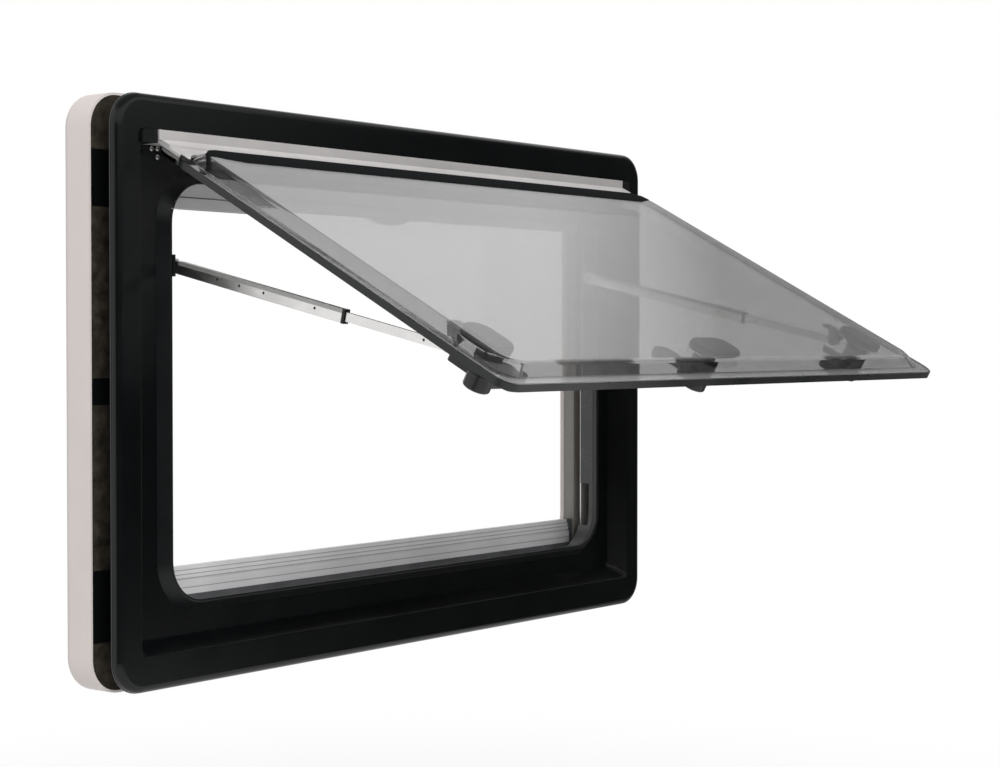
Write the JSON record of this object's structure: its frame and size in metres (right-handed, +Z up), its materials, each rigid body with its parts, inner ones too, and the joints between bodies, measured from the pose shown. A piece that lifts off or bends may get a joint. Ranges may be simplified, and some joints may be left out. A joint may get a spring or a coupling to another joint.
{
  "type": "caravan window",
  "caption": "Top-hung caravan window with black outer frame, cream inner frame with blinds, tinted double acrylic pane, telescopic stays and turning latches, shown open.",
  "frame": {"origin": "middle of the bottom edge of the wall cut-out, on the wall's outer face (back face of the outer flange)", "axes": "+X right as seen from outside, +Y from outside into the vehicle, +Z up"},
  "size_m": [0.84, 0.4716, 0.54],
  "materials": {
    "frame_black": "satin black moulded polyurethane",
    "seal_rubber": "smooth black rubber",
    "reveal_grey": "satin dark grey",
    "rail_aluminium": "drawn, clear anodised",
    "cap_black": "satin black",
    "leaf_aluminium": "drawn, clear anodised",
    "inner_cream": "satin cream",
    "cassette_cream": "satin cream",
    "guide_grey": "satin grey beige",
    "bar_aluminium": "anodised",
    "bar_cap_dark": "satin dark grey",
    "clamp_brown": "matte brown black",
    "bracket_black": "satin black",
    "striker_black": "satin black",
    "outer_acrylic": "polished grey tint",
    "inner_acrylic": "polished grey tint",
    "latch_base_black": "satin black",
    "latch_lever_black": "satin black",
    "stay_channel_aluminium": "anodised",
    "stay_rod_aluminium": "drawn"
  },
  "bodies": {
    "frame": {"outer_frame": "frame_black", "reveal_liner": "reveal_grey", "opening_seal": "seal_rubber", "hinge_rail": "rail_aluminium", "hinge_cap_left": "cap_black", "hinge_cap_right": "cap_black", "inner_frame": "inner_cream", "cassette_top": "cassette_cream", "cassette_bottom": "cassette_cream", "guide_rail_left": "guide_grey", "guide_rail_right": "guide_grey", "flyscreen_bar": "bar_aluminium", "blackout_bar": "bar_aluminium", "flyscreen_cap_left": "bar_cap_dark", "flyscreen_cap_right": "bar_cap_dark", "blackout_cap_left": "bar_cap_dark", "blackout_cap_right": "bar_cap_dark", "clamp_top_left": "clamp_brown", "clamp_top_right": "clamp_brown", "clamp_bottom_left": "clamp_brown", "clamp_bottom_right": "clamp_brown", "clamp_left_lower": "clamp_brown", "clamp_left_upper": "clamp_brown", "clamp_right_lower": "clamp_brown", "clamp_right_upper": "clamp_brown", "stay_pivot_left": "bracket_black", "stay_pivot_right": "bracket_black", "striker_left": "striker_black", "striker_right": "striker_black", "striker_bottom": "striker_black"},
    "pane": {"outer_sheet": "outer_acrylic", "inner_sheet": "inner_acrylic", "hinge_leaf": "leaf_aluminium", "latch_base_left": "latch_base_black", "latch_base_right": "latch_base_black", "latch_base_bottom": "latch_base_black", "stay_bracket_left": "bracket_black", "stay_bracket_right": "bracket_black"},
    "latch_left": {"latch_lever_left": "latch_lever_black"},
    "latch_right": {"latch_lever_right": "latch_lever_black"},
    "latch_bottom": {"latch_lever_bottom": "latch_lever_black"},
    "stay_left": {"stay_channel_left": "stay_channel_aluminium"},
    "stay_right": {"stay_channel_right": "stay_channel_aluminium"},
    "stay_left_rod": {"stay_rod_left": "stay_rod_aluminium"},
    "stay_right_rod": {"stay_rod_right": "stay_rod_aluminium"}
  },
  "joints": [
    {"name": "pane_hinge", "type": "hinge", "parent": "frame", "child": "pane", "pos_m": [0, -0.009, 0.4795], "axis": [-1, 0, 0], "range_deg": [-61.7, 4]},
    {"name": "latch_left_turn", "type": "hinge", "parent": "pane", "child": "latch_left", "pos_m": [-0.322, -0.33963, 0.27092], "axis": [0, 0.4741, -0.8805], "range_deg": [-90, 0]},
    {"name": "latch_bottom_turn", "type": "hinge", "parent": "pane", "child": "latch_bottom", "pos_m": [0, -0.34844, 0.26618], "axis": [0, 0.4741, -0.8805], "range_deg": [-90, 0]},
    {"name": "latch_right_turn", "type": "hinge", "parent": "pane", "child": "latch_right", "pos_m": [0.322, -0.33963, 0.27092], "axis": [0, -0.4741, 0.8805], "range_deg": [-90, 0]},
    {"name": "stay_left_swing", "type": "hinge", "parent": "frame", "child": "stay_left", "pos_m": [-0.3337, 0.008, 0.366], "axis": [-1, 0, 0], "range_deg": [-77.89, 5.07]},
    {"name": "stay_left_slide", "type": "slide", "parent": "stay_left", "child": "stay_left_rod", "axis": [0, -0.975, -0.2222], "range_m": [-0.08664, 0.00566]},
    {"name": "stay_right_swing", "type": "hinge", "parent": "frame", "child": "stay_right", "pos_m": [0.3337, 0.008, 0.366], "axis": [-1, 0, 0], "range_deg": [-77.89, 5.07]},
    {"name": "stay_right_slide", "type": "slide", "parent": "stay_right", "child": "stay_right_rod", "axis": [0, -0.975, -0.2222], "range_m": [-0.08664, 0.00566]}
  ],
  "couplings": [
    {"joint": "stay_left_swing", "follows": "pane_hinge", "ratio": 1.262},
    {"joint": "stay_left_slide", "follows": "pane_hinge", "m_per_rad": 0.080404},
    {"joint": "stay_right_swing", "follows": "pane_hinge", "ratio": 1.262},
    {"joint": "stay_right_slide", "follows": "pane_hinge", "m_per_rad": 0.080404}
  ]
}
